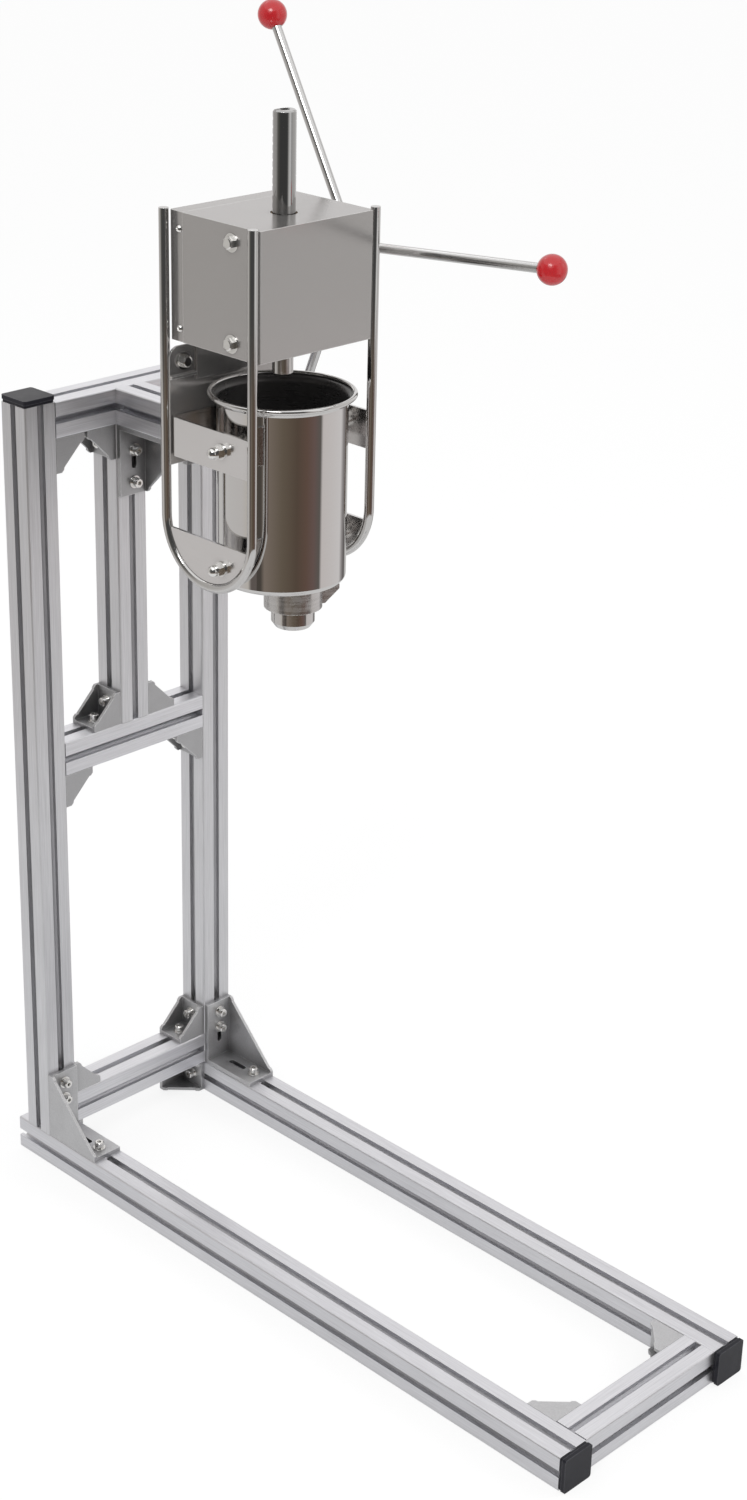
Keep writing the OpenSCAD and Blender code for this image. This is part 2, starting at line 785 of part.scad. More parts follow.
// The bush stands on its flange, with a short collar below z = 0 in the sheet's hole
module guide_bush() {
    collar = 0.3 * sheet_t;
    difference() {
        union() {
            cylinder(d = rod_d + 2 * guide_wall, h = guide_len);
            cylinder(d = rod_d + 2 * guide_flange, h = guide_flange_t);
            translate([0, 0, -collar]) cylinder(d = rod_hole_d - 2 * seat, h = collar + guide_flange_t);
        }
        translate([0, 0, -over]) cylinder(d = rod_d + 2 * run_gap, h = guide_len + 2 * over);
    }
}

// Hexagon bolts: two a side into the bearing plates, one in each ear of the back plate
ear_in = 18;
ear_x = back_half - ear_in;
neck_half = ear_x - neck_gap;
ear_drop = 16;
back_gap = 7;

module hex_bolt(grip, d, washer) {
    color(polished) {
        translate([0, 0, washer]) cylinder(d = hex_w, h = hex_h, $fn = 6);
        translate([0, 0, washer + hex_h]) cylinder(d1 = hex_w * 0.86, d2 = hex_w * 0.7, h = hex_crown);
        translate([0, 0, -grip]) cylinder(d = d, h = grip + washer + hex_h / 2);
        ring(hex_w * 1.4, d, washer);
    }
}

module hex_bolts() {
    for (side = [-1, 1], rise = bolt_rises)
        translate([0, bolt_y, box_z0 + rise]) mirror([side < 0 ? 1 : 0, 0, 0])
            translate([box_w / 2, 0, 0]) rotate([0, 90, 0])
                hex_bolt(sheet_t + seat + bearing_t * 0.8, box_bolt_d, hex_washer_t);
    for (side = [-1, 1]) translate([side * ear_x, back_y0, ear_z()]) rotate([90, 0, 0]) {
        hex_bolt(back_t + 1.5 * hex_h, box_bolt_d, washer_t);
        color(polished) translate([0, 0, -back_t - 1.25 * hex_h]) ring(hex_w * 1.1, box_bolt_d, 1.25 * hex_h);
    }
}

function back_top() = box_z0 - back_gap;
function ear_z() = back_top() - ear_drop;

// Carrier of the barrel

module neck_bracket() {
    foot = 12;
    color(steel) {
        translate([-neck_half, back_y0 - sheet_t, box_z0 - neck_h]) cube([2 * neck_half, sheet_t, neck_h]);
        translate([-neck_half, back_y0 - foot, box_z0 - sheet_t]) cube([2 * neck_half, foot, sheet_t]);
    }
}

module back_plate() {
    z0 = arm_top - back_drop;
    corner = 12;
    lip = 3;
    color(steel) {
        difference() {
            translate([0, back_y1, 0]) rotate([90, 0, 0]) linear_extrude(back_t)
                back_outline(z0, back_top(), corner);
            for (side = [-1, 1]) translate([side * ear_x, back_y1 + over, ear_z()]) rotate([90, 0, 0])
                cylinder(d = box_bolt_d + 2 * screw_gap, h = back_t + 2 * over);
            for (p = head_places)
                translate([p[1] * (half_w + screw_at), back_y1 + over, arm_top - half_w]) rotate([90, 0, 0])
                    cylinder(d = screw_d + 2 * screw_gap, h = back_t + 2 * over);
        }
        for (side = [-1, 1]) {
            w = back_half - neck_half - seat;
            translate([side * (back_half - w / 2) - w / 2, back_y0 - lip, ear_z() - ear_drop])
                cube([w, lip, lip]);
        }
    }
}

// Plate with its two upper corners rounded
module back_outline(z0, z1, r) {
    translate([-back_half, z0]) square([2 * back_half, z1 - z0 - r]);
    translate([-back_half + r, z0]) square([2 * (back_half - r), z1 - z0]);
    for (side = [-1, 1]) translate([side * (back_half - r), z1 - r]) circle(r = r);
}

// Channel open to the front: outer and inner outlines with round rear corners
module channel_outline(half, y1, r) {
    y0 = band_y0;
    translate([-half, y0]) square([2 * half, y1 - y0 - r]);
    translate([-half + r, y0]) square([2 * (half - r), y1 - y0]);
    for (side = [-1, 1]) translate([side * (half - r), y1 - r]) circle(r = r);
}

module upper_band() {
    corner = 8;
    half = bar_x + band_t / 2;
    color(steel) difference() {
        translate([0, 0, band_z]) linear_extrude(band_h) difference() {
            channel_outline(half, back_y0, corner);
            translate([0, -over]) channel_outline(half - band_t, back_y0 - band_t + over, corner - band_t);
        }
        translate([0, barrel_y, upper_stud_z()]) rod_x(-box_w, 2 * box_w, stud_d + 2 * screw_gap);
        for (p = head_places)
            translate([p[1] * (half_w + screw_at), back_y1, arm_top - half_w]) rotate([90, 0, 0])
                cylinder(d = screw_d + 2 * screw_gap, h = back_t + band_t + 2 * over);
    }
}

stud_below = 25;
function upper_stud_z() = band_z + 0.52 * band_h;
function lower_stud_z() = moon_z - stud_below;

module lower_plate(side) {
    r = bend_r - bar_d / 2 - seat;
    color(steel) difference() {
        extrude_x(side * bar_x - band_t / 2, band_t) intersection() {
            translate([bend_y, bend_z]) circle(r = r, $fn = 96);
            translate([bend_y - r - over, bend_z - r - over])
                square([2 * (r + over), moon_z - bend_z + r + over]);
        }
        translate([0, barrel_y, lower_stud_z()]) rod_x(-box_w, 2 * box_w, stud_d + 2 * screw_gap);
    }
}

module lower_plate_left() lower_plate(-1);
module lower_plate_right() lower_plate(1);

// Round bar bent to a U, its two legs up to the housing's top
module bar_frame(side) {
    top = box_z1 + bar_top;
    color(steel) translate([side * bar_x, 0, 0]) {
        for (y = [bar_y0, bar_y1]) translate([0, y, bend_z]) cylinder(d = bar_d, h = top - bend_z, $fn = 32);
        translate([0, bend_y, bend_z]) rotate([90, 0, 90]) rotate_extrude(angle = -180, $fn = 96)
            translate([bend_r, 0]) circle(d = bar_d, $fn = 32);
    }
}

module bar_frame_left() bar_frame(-1);
module bar_frame_right() bar_frame(1);

// Barrel

module can_outline(r, h, corner) {
    translate([0, corner]) square([r, h - corner]);
    square([r - corner, corner]);
    translate([r - corner, corner]) circle(r = corner);
}

module barrel_outline() {
    flare_z = barrel_h - flare_h;
    bead_r = rim_d / 2 - bead_d / 2;
    bead_z = barrel_h - bead_d / 2;
    difference() {
        can_outline(barrel_r, flare_z, heel_r);
        translate([0, barrel_floor]) can_outline(bore_r, flare_z, heel_r - barrel_t);
    }
    polygon([
        [bore_r, flare_z], [barrel_r, flare_z],
        [bead_r, bead_z - bead_d / 2], [bead_r - bead_d / 2, bead_z]
    ]);
    translate([bead_r, bead_z]) circle(d = bead_d);
}

module barrel() {
    color(polished) translate([0, barrel_y, base_z]) difference() {
        rotate_extrude($fn = 128) barrel_outline();
        translate([0, -outlet_ahead, -over]) cylinder(d = spout_bore, h = barrel_floor + 2 * over);
    }
}

// Stud places: side and height
stud_places = [for (side = [-1, 1], z = [upper_stud_z(), lower_stud_z()]) [side, z]];

module at_stud(p) {
    translate([0, barrel_y, p[1]]) mirror([p[0] < 0 ? 1 : 0, 0, 0]) children();
}

// Welded bosses, saddled to the barrel's wall, with threads through the side plates
module barrel_studs() {
    boss_d = 2 * stud_d;
    root = barrel_r - stud_d / 2;
    plate_in = bar_x - band_t / 2 - seat;
    plate_out = bar_x + band_t / 2;
    for (p = stud_places) at_stud(p) color(steel) difference() {
        union() {
            rod_x(root, plate_in - root, boss_d);
            rod_x(barrel_r, plate_out + washer_t + stud_d - barrel_r, stud_d);
        }
        translate([0, 0, -boss_d]) cylinder(r = barrel_r + seat / 2, h = 2 * boss_d, $fn = 128);
    }
}

module stud_washers() {
    for (p = stud_places) at_stud(p) color(polished)
        translate([bar_x + band_t / 2, 0, 0]) rotate([0, 90, 0])
            ring(2 * stud_d, stud_d + 2 * screw_gap, washer_t);
}

module domed_nuts() {
    hex = 1.6 * stud_d / cos(30);
    hex_len = 0.8 * stud_d;
    dome_r = 0.75 * stud_d;
    neck = stud_d / 4;
    for (p = stud_places) at_stud(p) color(polished)
        translate([bar_x + band_t / 2 + washer_t, 0, 0]) rotate([0, 90, 0]) difference() {
            union() {
                cylinder(d = hex, h = hex_len, $fn = 6);
                translate([0, 0, hex_len]) cylinder(r = dome_r, h = neck);
                translate([0, 0, hex_len + neck]) intersection() {
                    sphere(r = dome_r);
                    cylinder(r = dome_r, h = dome_r);
                }
            }
            translate([0, 0, -over]) cylinder(d = stud_d + 2 * thread_gap, h = stud_d + over + seat);
        }
}

// Outlet

// Triangle from the axis, as far on either side of +X as the given angle
module sector_outline(r, half_span) {
    polygon([[0, 0], [r, -r * tan(half_span)], [r, r * tan(half_span)]]);
}

// Three locking lugs: ring sectors between two radii
module lock_lugs(r_in, r_out, h) {
    for (a = [0, 120, 240]) rotate(a) intersection() {
        ring(2 * r_out, 2 * r_in, h);
        translate([0, 0, -over]) linear_extrude(h + 2 * over) sector_outline(2 * r_out, lug_span / 2);
    }
}

module outlet_spout() {
    color(polished) translate([0, outlet_y, spout_z]) difference() {
        union() {
            cylinder(d = spout_d, h = spout_len);
            lock_lugs((spout_d + spout_bore) / 4, lock_lug_r, lock_lug_t);
        }
        translate([0, 0, -over]) cylinder(d = spout_bore, h = spout_len + 2 * over);
    }
}

module nozzle_gasket() {
    color(rubber) translate([0, outlet_y, spout_z - seat / 2 - gasket_t])
        ring(spout_d, spout_bore, gasket_t);
}

module star_outline(d) {
    points = 8;
    inner_share = 0.72;
    polygon([for (i = [0:2 * points - 1]) let (r = (i % 2 == 0 ? 1 : inner_share) * d / 2)
        [r * cos(180 * i / points), r * sin(180 * i / points)]]);
}

// Cup with a flange above and a star-shaped hole in its bottom
module nozzle_cup() {
    wall = 2;
    floor_t = 3.5;
    taper = 4;
    color(polished) translate([0, outlet_y, cup_z0]) difference() {
        rotate_extrude($fn = 96) polygon([
            [0, 0], [cup_d / 2 - taper, 0], [cup_d / 2, taper * 1.4], [cup_d / 2, cup_top - cup_z0],
            [lock_lug_r, cup_top - cup_z0], [lock_lug_r, cup_top - cup_z0 + flange_t],
            [cup_d / 2 - wall, cup_top - cup_z0 + flange_t], [cup_d / 2 - wall, taper * 1.5],
            [cup_d / 2 - wall - taper, floor_t], [0, floor_t]
        ]);
        translate([0, 0, -over]) linear_extrude(floor_t + 2 * over) star_outline(star_d);
    }
}

// Turning ring with locking lugs inside and one ribbed thumb lug outside
lug_turn = -20;

module nozzle_ring() {
    h = ring_z1 - ring_z0;
    lock_z = spout_z + lock_lug_t + ring_gap - ring_z0;
    color(polished) translate([0, outlet_y, ring_z0]) difference() {
        union() {
            difference() {
                cylinder(d = ring_d, h = h, $fn = 96);
                translate([0, 0, ring_lip]) cylinder(r = ring_room_r, h = h);
                translate([0, 0, -over]) cylinder(d = cup_d + 2 * ring_gap, h = h);
            }
            translate([0, 0, lock_z]) lock_lugs(spout_d / 2 + ring_gap, ring_mid_r, lock_lug_t);
            rotate(lug_turn) thumb_lug(h);
        }
    }
}

// Lug outline in radius and height, with grooves across its outer faces
module thumb_lug(h) {
    slope = lug_w / 3;
    groove = lug_w / 12;
    groove_shares = [-0.36, -0.12, 0.12, 0.36];
    difference() {
        translate([0, lug_w / 2, 0]) rotate([90, 0, 0]) linear_extrude(lug_w) polygon([
            [ring_mid_r, 0], [ring_mid_r, 0.66 * h], [lug_r - slope, h], [lug_r, 0.8 * h],
            [lug_r, 0.6 * h], [ring_mid_r + slope, 0]
        ]);
        for (share = groove_shares) translate([0, share * lug_w - groove / 2, 0]) {
            translate([lug_r - 0.8 * groove, 0, -over]) cube([2 * groove, groove, h + 2 * over]);
            translate([ring_mid_r + slope, 0, 0.74 * h]) rotate([0, -16, 0]) cube([lug_r, groove, h]);
        }
    }
}

// Plunger

module plunger() {
    top_t = 2;
    stem_wall = 4.5;
    stem_r = spigot_d / 2 + stem_wall;
    stem_z = socket_floor + socket_depth - plunger_z;
    groove_r = plunger_r - seal_seat;
    groove_z = heel_r + seal_h + 2 * seat;
    color(polished) translate([0, barrel_y, plunger_z]) difference() {
        rotate_extrude($fn = 96) polygon([
            [0, 0], [plunger_r - heel_r, 0], [plunger_r, heel_r], [groove_r, heel_r],
            [groove_r, groove_z], [plunger_r, groove_z], [plunger_r, groove_z + top_t],
            [stem_r, groove_z + top_t], [stem_r, stem_z], [0, stem_z]
        ]);
        translate([0, 0, socket_floor - plunger_z])
            cylinder(d = spigot_d + 2 * seat, h = socket_depth + over);
    }
}

module plunger_seal() {
    color(rubber) translate([0, barrel_y, plunger_z + heel_r + seat])
        ring(2 * (bore_r - seat), 2 * (plunger_r - seal_seat + seat), seal_h);
}

// Drive

function involute(a) = tan(a) - a * PI / 180;
base_r = pitch_r * cos(pressure);
half_tooth = 90 / gear_n - backlash / (2 * pitch_r) * 180 / PI;
function flank(r) = half_tooth + (involute(pressure) - involute(acos(min(1, base_r / r)))) * 180 / PI;
root_share = 0.7;
flank_steps = 4;
tip_r = pitch_r + addendum;
root_r = pitch_r - dedendum;
flank_points = concat(
    [[root_r, flank(base_r) * root_share]],
    [for (i = [0:flank_steps]) let (r = base_r + (tip_r - base_r) * i / flank_steps) [r, flank(r)]]
);

// Pinion outline with one tooth pointing along -Y, towards the rod
module pinion_outline() {
    last = len(flank_points) - 1;
    polygon([for (k = [0:gear_n - 1]) let (a = 180 + 360 * k / gear_n)
        each concat(
            [for (p = flank_points) p[0] * [cos(a - p[1]), sin(a - p[1])]],
            [for (i = [last:-1:0]) let (p = flank_points[i]) p[0] * [cos(a + p[1]), sin(a + p[1])]]
        )]);
}

pinion_boss_d = 2 * root_r - 0.4 * gear_m;
pinion_boss_w = 9;
pin_d = 3;
pin_x = gear_w / 2 + pinion_boss_w / 2;

module pinion_gear() {
    color(steel) translate([0, pinion_y, pinion_z]) difference() {
        union() {
            extrude_x(-gear_w / 2, gear_w) pinion_outline();
            rod_x(0, gear_w / 2 + pinion_boss_w, pinion_boss_d);
        }
        rod_x(-gear_w, 3 * gear_w, shaft_d + 2 * run_gap);
        translate([pin_x, 0, -tip_r]) cylinder(d = pin_d + 2 * run_gap, h = 2 * tip_r);
    }
}

module pinion_pin() {
    color(polished) translate([pin_x, pinion_y, pinion_z - pinion_boss_d / 2])
        cylinder(d = pin_d, h = pinion_boss_d);
}

shaft_end_gap = 2;
shaft_x0 = -bearing_x + shaft_end_gap;
hub_web = 8;
shaft_x1 = hub_x0 + hub_len - hub_web;
hub_screw_d = 6;
hub_screw_dent = 1;
hub_screw_x = hub_x0 + hub_web;

module pinion_shaft() {
    color(polished) translate([0, pinion_y, pinion_z]) difference() {
        rod_x(shaft_x0, shaft_x1 - shaft_x0, shaft_d);
        translate([pin_x, 0, -tip_r]) cylinder(d = pin_d + 2 * run_gap, h = 2 * tip_r);
        translate([hub_screw_x, 0, shaft_d / 2 - hub_screw_dent])
            cylinder(d = hub_screw_d + 2 * screw_gap, h = shaft_d);
    }
}

module shaft_collar() {
    w = 8;
    wall = 5;
    x = bearing_x - bearing_t - bush_flange_t - 2 * seat - w;
    color(steel) translate([0, pinion_y, pinion_z]) difference() {
        rod_x(x, w, shaft_d + 2 * wall);
        rod_x(x - over, w + 2 * over, shaft_d + 2 * run_gap);
        translate([x + w / 2, 0, 0]) cylinder(d = w / 2, h = shaft_d + wall);
    }
}

// Lever places: the lever runs along +Z of the children, out of the hub and a little outwards
module at_lever(i) {
    translate([lever_root, pinion_y, pinion_z]) rotate([lever_angles[i] - 90, 0, 0])
        rotate([0, lever_tilt, 0]) children();
}

module handle_hub() {
    edge = 1.5;
    color(polished) difference() {
        translate([hub_x0, pinion_y, pinion_z]) rotate([0, 90, 0]) {
            cylinder(d1 = hub_d - 2 * edge, d2 = hub_d, h = edge);
            translate([0, 0, edge]) cylinder(d = hub_d, h = hub_len - 2 * edge);
            translate([0, 0, hub_len - edge]) cylinder(d1 = hub_d, d2 = hub_d - 2 * edge, h = edge);
        }
        translate([0, pinion_y, pinion_z])
            rod_x(hub_x0 - over, shaft_x1 - hub_x0 + over + seat, shaft_d + 2 * run_gap);
        translate([hub_screw_x, pinion_y, pinion_z]) cylinder(d = hub_screw_d + 2 * thread_gap, h = hub_d);
        for (i = [0:2]) at_lever(i) translate([0, 0, lever_in - seat])
            cylinder(d = lever_d + 2 * run_gap, h = hub_d);
    }
}

module hub_screw() {
    z = shaft_d / 2 - hub_screw_dent + seat;
    sunk = 0.8;
    key_depth = 3;
    length = hub_d / 2 - z - sunk;
    color(steel) translate([hub_screw_x, pinion_y, pinion_z + z]) difference() {
        cylinder(d = hub_screw_d, h = length);
        translate([0, 0, length - key_depth])
            cylinder(d = hub_screw_d / 2 + seat, h = key_depth + over, $fn = 6);
    }
}

module lever_rod(i) {
    end = lever_span - knob_d / 2 + knob_hole - seat;
    color(polished) at_lever(i) translate([0, 0, lever_in]) cylinder(d = lever_d, h = end - lever_in);
}

module ball_knob(i) {
    color(red) at_lever(i) translate([0, 0, lever_span]) difference() {
        sphere(d = knob_d, $fn = 64);
        translate([0, 0, -knob_d / 2 - over]) cylinder(d = lever_d + 2 * run_gap, h = knob_hole + over);
    }
}

module lever_rod_1() lever_rod(0);
module lever_rod_2() lever_rod(1);
module lever_rod_3() lever_rod(2);
module ball_knob_1() ball_knob(0);
module ball_knob_2() ball_knob(1);
module ball_knob_3() ball_knob(2);

// Gap between two rack teeth, in distance from the pitch line and height
module rack_gap_outline() {
    tip = rack_pitch / 4 + backlash / 2 + addendum * tan(pressure);
    root = rack_pitch / 4 + backlash / 2 - dedendum * tan(pressure);
    more = addendum * tan(pressure);
    polygon([[-dedendum, -root], [addendum, -tip], [2 * addendum, -tip - more],
        [2 * addendum, tip + more], [addendum, tip], [-dedendum, root]]);
}

rod_edge = 1.5;
eye_d = 10.2;
eye_depth = 14;
joint_d = 10;
joint_len = 17;

module rack_rod() {
    low = rod_z0 + spigot_len;
    first = floor((rack_z0 - pinion_z) / rack_pitch);
    last = ceil((rod_z1 - pinion_z) / rack_pitch);
    color(polished) difference() {
        translate([0, barrel_y, low]) {
            cylinder(d1 = rod_d - rod_edge, d2 = rod_d, h = rod_edge / 2);
            translate([0, 0, rod_edge / 2]) cylinder(d = rod_d, h = rod_z1 - low - 1.5 * rod_edge);
            translate([0, 0, rod_z1 - low - rod_edge])
                cylinder(d1 = rod_d, d2 = rod_d - 2 * rod_edge, h = rod_edge);
        }
        translate([-rod_d, barrel_y + rack_line + addendum, pinion_z + first * rack_pitch])
            cube([2 * rod_d, rod_d, rod_len]);
        for (k = [first:last]) translate([0, barrel_y + rack_line, pinion_z + k * rack_pitch])
            extrude_x(-rod_d, 2 * rod_d) rack_gap_outline();
        translate([0, barrel_y, rod_z1 - eye_depth]) cylinder(d = eye_d, h = eye_depth + over);
        translate([0, barrel_y, low - over])
            cylinder(d = joint_d + 2 * thread_gap, h = joint_len + socket_gap + over);
    }
}

module plunger_spigot() {
    edge = 2;
    color(polished) translate([0, barrel_y, rod_z0]) {
        cylinder(d1 = spigot_d - 2 * edge, d2 = spigot_d, h = edge);
        translate([0, 0, edge]) cylinder(d = spigot_d, h = spigot_len - edge);
        cylinder(d = joint_d, h = spigot_len + joint_len);
    }
}

base_rail_left();
base_rail_right();
front_cross_rail();
post_left();
post_right();
bottom_cross_rail();
middle_cross_rail();
top_cross_rail();
centre_post();
arm_rail();
rail_end_caps();
post_caps();
upper_corner_brackets();
lower_corner_brackets();
head_corner_brackets();
base_brackets();
arm_bracket();
frame_screws();
frame_washers();
slot_nuts();
head_nuts();
gear_housing();
rear_cover();
cover_screws();
bearing_plate_left();
bearing_plate_right();
hex_bolts();
shaft_bushes();
guide_bushes();
neck_bracket();
back_plate();
upper_band();
lower_plate_left();
lower_plate_right();
bar_frame_left();
bar_frame_right();
barrel();
barrel_studs();
stud_washers();
domed_nuts();
outlet_spout();
nozzle_gasket();
nozzle_cup();
plunger();
plunger_seal();
pinion_gear();
pinion_pin();
pinion_shaft();
shaft_collar();
handle_hub();
hub_screw();
lever_rod_1();
lever_rod_2();
lever_rod_3();
ball_knob_1();
ball_knob_2();
ball_knob_3();
rack_rod();
plunger_spigot();
nozzle_ring();
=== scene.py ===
import math

import bmesh
import bpy
from mathutils import Matrix, Vector


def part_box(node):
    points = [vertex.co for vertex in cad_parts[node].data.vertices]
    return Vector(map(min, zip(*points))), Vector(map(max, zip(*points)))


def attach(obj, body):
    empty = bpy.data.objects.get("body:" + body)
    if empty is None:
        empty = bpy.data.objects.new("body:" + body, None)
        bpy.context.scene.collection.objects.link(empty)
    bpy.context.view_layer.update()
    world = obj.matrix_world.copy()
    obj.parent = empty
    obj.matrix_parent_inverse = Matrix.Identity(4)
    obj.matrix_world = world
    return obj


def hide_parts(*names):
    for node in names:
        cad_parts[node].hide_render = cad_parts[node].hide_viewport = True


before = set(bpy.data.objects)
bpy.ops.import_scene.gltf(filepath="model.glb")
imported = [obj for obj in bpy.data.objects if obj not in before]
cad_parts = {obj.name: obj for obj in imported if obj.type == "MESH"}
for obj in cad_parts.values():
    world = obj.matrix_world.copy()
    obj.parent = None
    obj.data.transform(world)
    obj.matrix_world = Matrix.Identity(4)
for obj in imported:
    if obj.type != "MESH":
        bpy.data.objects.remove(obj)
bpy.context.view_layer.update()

# Camera: the photograph's place and angle, with its small roll
CAMERA_PLACE = Vector((-1.6966, -1.2677, 1.6674))
CAMERA_AZIMUTH = math.radians(-45.647)
CAMERA_ELEVATION = math.radians(24.017)
CAMERA_ROLL = math.radians(1.375)
CAMERA_LENS_MM = 61.62
SENSOR_MM = 36

# Studio
STUDIO_CENTRE = Vector((0, 0.45, 0))
STUDIO_MIDDLE = STUDIO_CENTRE + Vector((0, 0, 0.7))
AMBIENT_LIGHT = 0.92
FLOOR_SIDE = 80
FLOOR_DROP = 0.0003
FLOOR_TONE = 0.95
FLOOR_GLOW_SHARE = 0.8
FLOOR_IN_METAL = 0.6
RING_RADIUS = 1.5
RING_STEPS = 128
RING_LEVELS = (0.002, 2.4)
RING_BLEND = (0.52, 0.64)

# Lamps: place and size in metres, and watts
LAMPS = {
    "key_lamp": ((-2.2, -0.6, 3.2), 1.6, 42),
    "fill_lamp": ((2.4, -1.6, 2.4), 1.8, 22),
    "rear_lamp": ((0.6, 3.0, 2.8), 1.6, 6),
}


def link(obj):
    bpy.context.scene.collection.objects.link(obj)
    return obj


def mesh_object(name, bm, smooth=True):
    mesh = bpy.data.meshes.new(name)
    bm.normal_update()
    bm.to_mesh(mesh)
    bm.free()
    if smooth:
        mesh.shade_smooth()
    return link(bpy.data.objects.new(name, mesh))


# Node trees
# gain and noise scale of the edge mask, which paints a highlight on the edges as well as wear
EDGE_WEAR_AND_HIGHLIGHT_GAIN = 12.0
EDGE_WEAR_AND_HIGHLIGHT_SCALE = 90.0
RELIEF_STRENGTH = 0.6
GRAIN_TO_GLOSS = 0.6


def new_node(tree, kind, inputs=None, **settings):
    """Adds a node, with its settings, and its inputs set or linked by name or number."""
    node = tree.nodes.new(kind)
    for key, value in settings.items():
        setattr(node, key, value)
    for key, value in (inputs or {}).items():
        if isinstance(value, bpy.types.NodeSocket):
            tree.links.new(value, node.inputs[key])
        else:
            node.inputs[key].default_value = value
    return node


def new_group(name, inputs, outputs):
    """Starts a shader group; inputs are (name, kind, default) and outputs are (name, kind)."""
    group = bpy.data.node_groups.new(name, "ShaderNodeTree")
    for label, kind, default in inputs:
        socket = group.interface.new_socket(label, in_out="INPUT", socket_type="NodeSocket" + kind)
        socket.default_value = default
    for label, kind in outputs:
        group.interface.new_socket(label, in_out="OUTPUT", socket_type="NodeSocket" + kind)
    return group, group.nodes.new("NodeGroupInput").outputs, group.nodes.new("NodeGroupOutput").inputs


def math_node(tree, operation, first, second=0.0, clamp=False):
    node = new_node(tree, "ShaderNodeMath", {0: first, 1: second}, operation=operation, use_clamp=clamp)
    return node.outputs[0]


def grain_group():
    """Fine lines or specks of a finish: noise on the object's own coordinates, stretched."""
    group, given, result = new_group(
        "grain",
        [("Stretch", "Vector", (1, 1, 1)), ("Scale", "Float", 400.0), ("Detail", "Float", 3.0)],
        [("Height", "Float")],
    )
    place = new_node(group, "ShaderNodeTexCoord").outputs["Object"]
    stretched = new_node(
        group, "ShaderNodeVectorMath", {0: place, 1: given["Stretch"]}, operation="MULTIPLY",
    )
    noise = new_node(
        group, "ShaderNodeTexNoise",
        {"Vector": stretched.outputs[0], "Scale": given["Scale"], "Detail": given["Detail"],
         "Roughness": 0.65},
    )
    group.links.new(noise.outputs["Fac"], result["Height"])
    return group


def mottle_group():
    """Broad blotches between a low and a high value, such as handling marks in the gloss."""
    group, given, result = new_group(
        "mottle",
        [("Scale", "Float", 12.0), ("Low", "Float", 0.2), ("High", "Float", 0.4)],
        [("Value", "Float")],
    )
    place = new_node(group, "ShaderNodeTexCoord").outputs["Object"]
    noise = new_node(
        group, "ShaderNodeTexNoise",
        {"Vector": place, "Scale": given["Scale"], "Detail": 4.0, "Roughness": 0.6, "Distortion": 0.6},
    )
    spread = new_node(
        group, "ShaderNodeMapRange",
        {"Value": noise.outputs["Fac"], "From Min": 0.3, "From Max": 0.7,
         "To Min": given["Low"], "To Max": given["High"]},
    )
    group.links.new(spread.outputs["Result"], result["Value"])
    return group


def edge_wear_and_highlight_group():
    """Mask of the edges, where handling has brightened or dulled them and where a painted highlight
    brightens them, broken up by noise.
    """
    group, given, result = new_group(
        "edge_wear_and_highlight",
        [("Radius", "Float", 0.0008), ("Strength", "Float", 1.0)],
        [("Mask", "Float")],
    )
    rounded = new_node(group, "ShaderNodeBevel", {"Radius": given["Radius"]}, samples=4)
    flat = new_node(group, "ShaderNodeNewGeometry").outputs["Normal"]
    along = new_node(
        group, "ShaderNodeVectorMath", {0: rounded.outputs[0], 1: flat}, operation="DOT_PRODUCT",
    )
    turned = math_node(group, "SUBTRACT", 1.0, along.outputs["Value"])
    place = new_node(group, "ShaderNodeTexCoord").outputs["Object"]
    patches = new_node(
        group, "ShaderNodeTexNoise", {"Vector": place, "Scale": EDGE_WEAR_AND_HIGHLIGHT_SCALE, "Detail": 2.0},
    )
    broken = math_node(group, "MULTIPLY", turned, patches.outputs["Fac"])
    gain = math_node(group, "MULTIPLY", given["Strength"], EDGE_WEAR_AND_HIGHLIGHT_GAIN)
    mask = math_node(group, "MULTIPLY", broken, gain, True)
    group.links.new(mask, result["Mask"])
    return group


def relief_group():
    """Surface normal with softly rounded edges and the height of a grain on it."""
    group, given, result = new_group(
        "relief",
        [("Height", "Float", 0.0), ("Depth", "Float", 0.0001), ("Edge", "Float", 0.0005)],
        [("Normal", "Vector")],
    )
    rounded = new_node(group, "ShaderNodeBevel", {"Radius": given["Edge"]}, samples=4)
    bump = new_node(
        group, "ShaderNodeBump",
        {"Height": given["Height"], "Distance": given["Depth"], "Normal": rounded.outputs[0],
         "Strength": RELIEF_STRENGTH},
    )
    group.links.new(bump.outputs["Normal"], result["Normal"])
    return group


def corner_painted_shade_group():
    """Painted shade of inner corners and of recesses: an ambient occlusion mask that darkens the base
    colour where light is shut out.
    """
    group, given, result = new_group(
        "corner_painted_shade",
        [("Reach", "Float", 0.008), ("Strength", "Float", 0.4)],
        [("Shade", "Float")],
    )
    open_share = new_node(
        group, "ShaderNodeAmbientOcclusion", {"Distance": given["Reach"]}, samples=8,
    ).outputs["AO"]
    closed = math_node(group, "SUBTRACT", 1.0, open_share)
    group.links.new(math_node(group, "MULTIPLY", closed, given["Strength"], True), result["Shade"])
    return group


